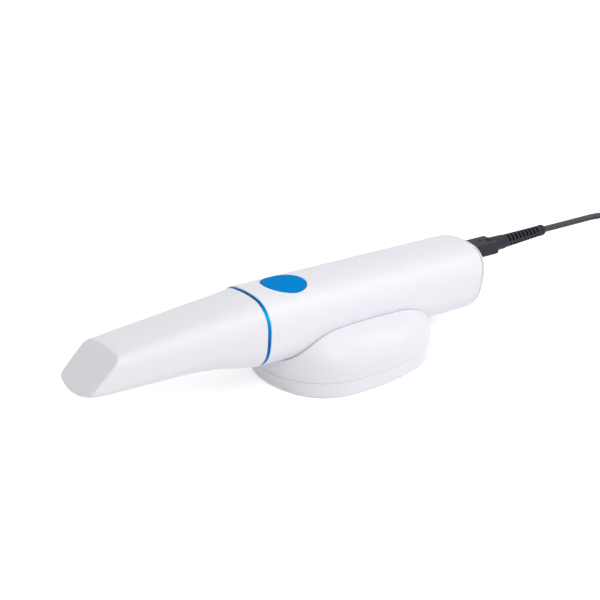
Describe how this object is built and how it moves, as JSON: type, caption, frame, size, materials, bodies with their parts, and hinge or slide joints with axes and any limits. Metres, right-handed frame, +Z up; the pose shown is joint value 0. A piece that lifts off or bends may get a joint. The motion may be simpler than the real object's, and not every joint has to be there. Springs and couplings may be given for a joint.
{
  "type": "intraoral scanner",
  "caption": "Handheld dental intraoral scanner with a slide-off mirror tip, push button and corded handle, resting in its desk cradle.",
  "frame": {"origin": "on the desk under the middle of the cradle's anti-slip pad", "axes": "+Z up, +X from the tip towards the cable along the wand, +Y to the far side"},
  "size_m": [0.4079, 0.0932, 0.0522],
  "materials": {
    "white_shell": "satin white moulded shell",
    "tip_white": "satin white moulded sleeve",
    "cradle_white": "glossy white moulded shell",
    "button_blue": "smooth blue",
    "ring_blue": "clear blue light guide",
    "black_plastic": "matte",
    "optical_glass": "coated, clear",
    "mirror_face": "front silvered",
    "aluminium_parts": "machined, satin",
    "circuit_board": "solder mask",
    "chip_black": "moulded package",
    "lamp_yellow": "phosphor lens",
    "steel_parts": "bright",
    "soft_grey": "soft, matte",
    "plug_grey": "moulded, matte",
    "cable_grey": "matte jacket"
  },
  "bodies": {
    "base": {"board_screws": "steel_parts", "button_board": "circuit_board", "button_switch": "black_plastic", "cable": "cable_grey", "cable_coil": "cable_grey", "cable_socket": "black_plastic", "cable_tail": "cable_grey", "camera_barrel": "black_plastic", "camera_board": "circuit_board", "camera_lens": "optical_glass", "camera_sensor": "chip_black", "cradle_base": "cradle_white", "cradle_body": "cradle_white", "cradle_liner": "soft_grey", "cradle_screws": "steel_parts", "cradle_weight": "steel_parts", "desk_pad": "soft_grey", "far_plug_grip": "plug_grey", "far_plug_shell": "steel_parts", "handle_shell": "white_shell", "heat_spreader": "aluminium_parts", "image_processor": "chip_black", "lamp_heatsink": "aluminium_parts", "led_board": "circuit_board", "led_lamp": "lamp_yellow", "light_ring": "ring_blue", "main_board": "circuit_board", "nose": "black_plastic", "nose_glass": "optical_glass", "optical_bench": "aluminium_parts", "pattern_mask": "optical_glass", "plug_body": "plug_grey", "plug_contact": "steel_parts", "projector_barrel": "black_plastic", "projector_lens": "optical_glass", "rear_cap": "white_shell", "strain_relief": "plug_grey"},
    "tip": {"tip_shell": "tip_white", "tip_mirror": "mirror_face"},
    "button": {"button_cap": "button_blue"}
  },
  "joints": [
    {"name": "tip_slide", "type": "slide", "parent": "base", "child": "tip", "axis": [-0.9976, 0, 0.0698], "range_m": [0, 0.08]},
    {"name": "button_press", "type": "slide", "parent": "base", "child": "button", "axis": [-0.0698, 0, -0.9976], "range_m": [0, 0.0006], "stiffness_N_per_m": 2500, "springref_m": -0.0002}
  ]
}
